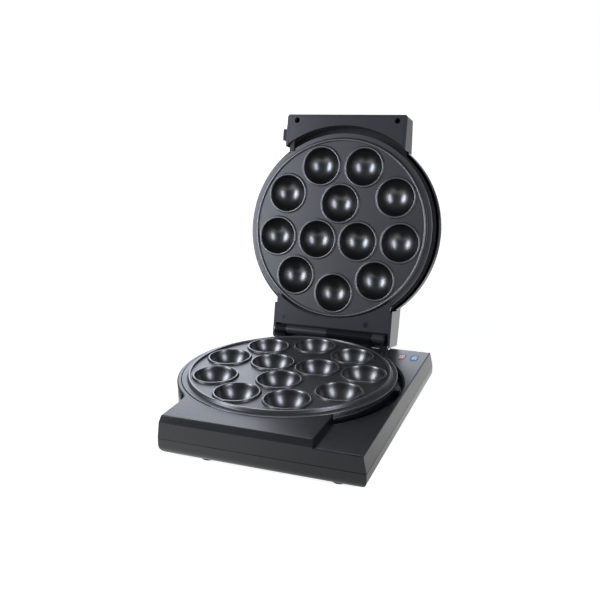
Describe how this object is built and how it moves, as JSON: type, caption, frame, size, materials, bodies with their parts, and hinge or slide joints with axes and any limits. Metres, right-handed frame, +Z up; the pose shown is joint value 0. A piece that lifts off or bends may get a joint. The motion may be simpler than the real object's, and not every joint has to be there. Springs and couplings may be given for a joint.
{
  "type": "cake pop maker",
  "caption": "Countertop cake pop maker with two round non-stick plates of half-round bowls, a hinged lid standing open, a side console with two lamps and plate latches.",
  "frame": {"origin": "on the table, under the middle of the open appliance's box", "axes": "+X to the user's right, the console side; +Y to the back, where the hinge is; +Z up"},
  "size_m": [0.229, 0.3356, 0.277],
  "materials": {
    "bottom_shell_black": "fine-grained black moulding",
    "top_shell_black": "satin black moulding",
    "foot_rubber": "soft black",
    "base_screw_steel": "zinc plated",
    "lower_pan_steel": "aluminised sheet",
    "lower_element_steel": "dull oxidised sheath",
    "lower_clip_steel": "bare spring steel",
    "lower_thermostat_steel": "plated cap",
    "lower_plate_nonstick": "dark non-stick coat on cast metal",
    "latch_black": "satin black",
    "lens_red": "tinted, pale red",
    "lens_blue": "tinted, pale blue",
    "holder_white": "off-white",
    "terminal_ceramic": "glazed off-white",
    "fuse_steel": "plated can",
    "gland_rubber": "soft black",
    "pin_steel": "bright drawn",
    "band_black": "satin black moulding",
    "dome_gloss_black": "high gloss black",
    "liner_black": "satin black moulding",
    "upper_pan_steel": "aluminised sheet",
    "upper_element_steel": "dull oxidised sheath",
    "upper_clip_steel": "bare spring steel",
    "upper_thermostat_steel": "plated cap",
    "upper_plate_nonstick": "dark non-stick coat on cast metal",
    "slider_black": "satin black",
    "lid_screw_steel": "blackened steel"
  },
  "bodies": {
    "base": {"base_bottom_shell": "bottom_shell_black", "base_top_shell": "top_shell_black", "rubber_feet": "foot_rubber", "base_screws": "base_screw_steel", "lower_heat_shield": "lower_pan_steel", "lower_heating_element": "lower_element_steel", "lower_element_clips": "lower_clip_steel", "lower_thermostat": "lower_thermostat_steel", "lower_baking_plate": "lower_plate_nonstick", "heating_lamp_lens": "lens_red", "ready_lamp_lens": "lens_blue", "lamp_holder": "holder_white", "terminal_block": "terminal_ceramic", "thermal_fuse": "fuse_steel", "cord_gland": "gland_rubber", "hinge_pin": "pin_steel"},
    "lid": {"lid_band": "band_black", "lid_dome": "dome_gloss_black", "lid_liner": "liner_black", "upper_heat_shield": "upper_pan_steel", "upper_heating_element": "upper_element_steel", "upper_element_clips": "upper_clip_steel", "upper_thermostat": "upper_thermostat_steel", "upper_baking_plate": "upper_plate_nonstick", "lid_screws": "lid_screw_steel"},
    "lower_latch": {"lower_plate_latch": "latch_black"},
    "upper_slider": {"upper_plate_slider": "slider_black"}
  },
  "joints": [
    {"name": "lid_hinge", "type": "hinge", "parent": "base", "child": "lid", "pos_m": [-0.00295, 0.08237, 0.0416], "axis": [1, 0, 0], "range_deg": [0, 103.84]},
    {"name": "lower_latch_slide", "type": "slide", "parent": "base", "child": "lower_latch", "axis": [-0.7133, -0.7009, 0], "range_m": [0, 0.003], "stiffness_N_per_m": 300},
    {"name": "upper_slider_slide", "type": "slide", "parent": "lid", "child": "upper_slider", "axis": [0, 0.2392, 0.971], "range_m": [0, 0.003], "stiffness_N_per_m": 300}
  ]
}
